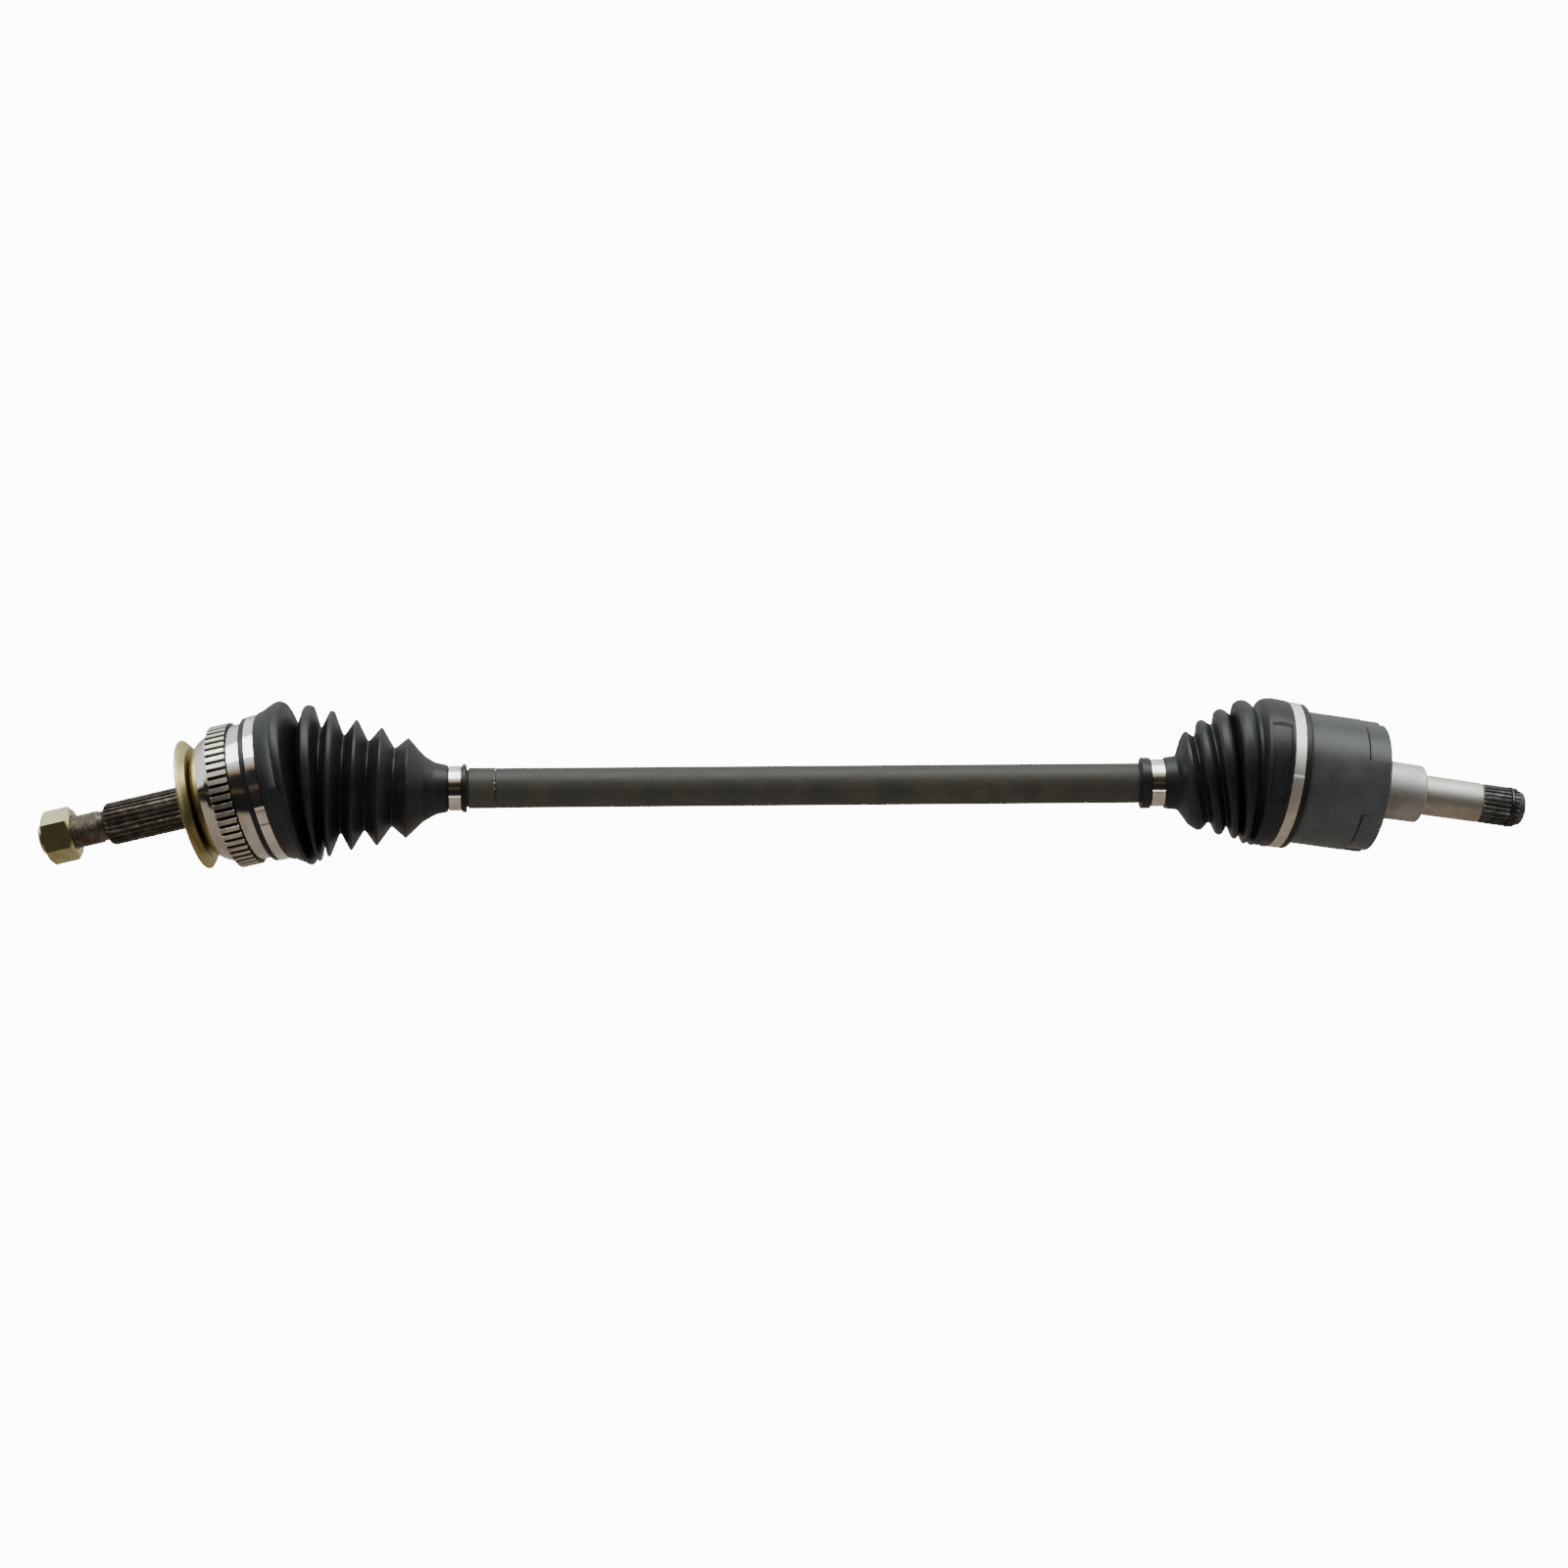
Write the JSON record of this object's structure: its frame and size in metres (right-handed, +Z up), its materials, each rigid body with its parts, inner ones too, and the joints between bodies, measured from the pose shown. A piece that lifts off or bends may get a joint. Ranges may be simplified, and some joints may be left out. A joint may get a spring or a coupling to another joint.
{
  "type": "cv axle",
  "caption": "Front-wheel-drive half shaft: fixed ball joint with splined wheel stub and nut, painted bar, plunging tripod joint with splined gearbox stub, bellows boots and clamps.",
  "frame": {"origin": "centre of the box's underside; the axle lies on its dust deflector and housing rim", "axes": "+X along the bar from the wheel end to the gearbox end, +Z up, both joints drooping in the XZ plane"},
  "size_m": [1.0072, 0.1118, 0.1133],
  "materials": {
    "machined_steel": "bright turned steel",
    "yellow_zinc": "yellow passivated zinc",
    "band_steel": "bright rolled strip",
    "satin_band": "satin rolled strip",
    "bar_paint": "thin satin dark olive paint",
    "housing_paint": "satin charcoal paint, machined stub bare",
    "rubber": "matte black moulded rubber",
    "bearing_steel": "ground bearing steel, greased",
    "spring_steel": "dark oiled spring wire"
  },
  "bodies": {
    "shaft": {"drive_shaft": "bar_paint", "inner_race": "bearing_steel", "inner_race_snap_ring": "spring_steel", "outboard_small_clamp": "band_steel", "inboard_small_clamp": "band_steel", "spider": "bearing_steel", "spider_circlip_inner": "spring_steel", "spider_circlip_outer": "spring_steel", "needles_1": "bearing_steel", "needles_2": "bearing_steel", "needles_3": "bearing_steel", "roller_retainer_1": "spring_steel", "roller_retainer_2": "spring_steel", "roller_retainer_3": "spring_steel"},
    "outboard_boot_body": {"outboard_boot": "rubber"},
    "wheel_stub": {"outboard_race": "machined_steel", "tone_ring": "machined_steel", "dust_deflector": "yellow_zinc", "outboard_large_clamp": "band_steel"},
    "ball_cage": {"cage": "bearing_steel", "ball_1": "bearing_steel", "ball_2": "bearing_steel", "ball_3": "bearing_steel", "ball_4": "bearing_steel", "ball_5": "bearing_steel", "ball_6": "bearing_steel"},
    "nut": {"hub_nut": "yellow_zinc"},
    "inboard_boot_body": {"inboard_boot": "rubber"},
    "gearbox_stub": {"tripod_housing": "housing_paint", "inboard_large_clamp": "satin_band", "stub_circlip": "spring_steel"},
    "roller_body_1": {"roller_1": "bearing_steel"},
    "roller_body_2": {"roller_2": "bearing_steel"},
    "roller_body_3": {"roller_3": "bearing_steel"}
  },
  "joints": [
    {"name": "outboard_steer", "type": "hinge", "parent": "shaft", "child": "outboard_boot_body", "pos_m": [-0.35398, 0, 0.05367], "axis": [0.0062, 0, 1], "range_deg": [-40, 40], "deforming": ["outboard_boot"]},
    {"name": "outboard_updown", "type": "hinge", "parent": "outboard_boot_body", "child": "wheel_stub", "pos_m": [-0.35398, 0, 0.05367], "axis": [0, 1, 0], "range_deg": [-5.4, 34.6]},
    {"name": "cage_swing", "type": "hinge", "parent": "shaft", "child": "ball_cage", "pos_m": [-0.35398, 0, 0.05367], "axis": [0.0062, 0, 1], "range_deg": [-20, 20]},
    {"name": "hub_nut_turn", "type": "hinge", "parent": "wheel_stub", "child": "nut", "pos_m": [-0.48773, 0, 0.01972], "axis": [-0.9693, 0, -0.246], "continuous": true},
    {"name": "inboard_updown", "type": "hinge", "parent": "shaft", "child": "inboard_boot_body", "pos_m": [0.36801, 0, 0.04918], "axis": [0, -1, 0], "range_deg": [-10.2, 29.8], "deforming": ["inboard_boot"]},
    {"name": "inboard_plunge", "type": "slide", "parent": "inboard_boot_body", "child": "gearbox_stub", "axis": [0.9843, 0, -0.1763], "range_m": [-0.0025, 0.015]},
    {"name": "roller_1_roll", "type": "hinge", "parent": "shaft", "child": "roller_body_1", "pos_m": [0.36808, 0.01992, 0.06068], "axis": [0.0031, 0.866, 0.5], "range_deg": [-9, 54]},
    {"name": "roller_2_roll", "type": "hinge", "parent": "shaft", "child": "roller_body_2", "pos_m": [0.36808, -0.01992, 0.06068], "axis": [0.0031, -0.866, 0.5], "range_deg": [-9, 54]},
    {"name": "roller_3_roll", "type": "hinge", "parent": "shaft", "child": "roller_body_3", "pos_m": [0.36787, 0, 0.02618], "axis": [-0.0062, 0, -1], "range_deg": [-9, 54]}
  ],
  "couplings": [
    {"joint": "cage_swing", "follows": "outboard_steer", "ratio": 0.5},
    {"joint": "roller_1_roll", "follows": "inboard_plunge", "rad_per_m": 62.5},
    {"joint": "roller_2_roll", "follows": "inboard_plunge", "rad_per_m": 62.5},
    {"joint": "roller_3_roll", "follows": "inboard_plunge", "rad_per_m": 62.5}
  ]
}
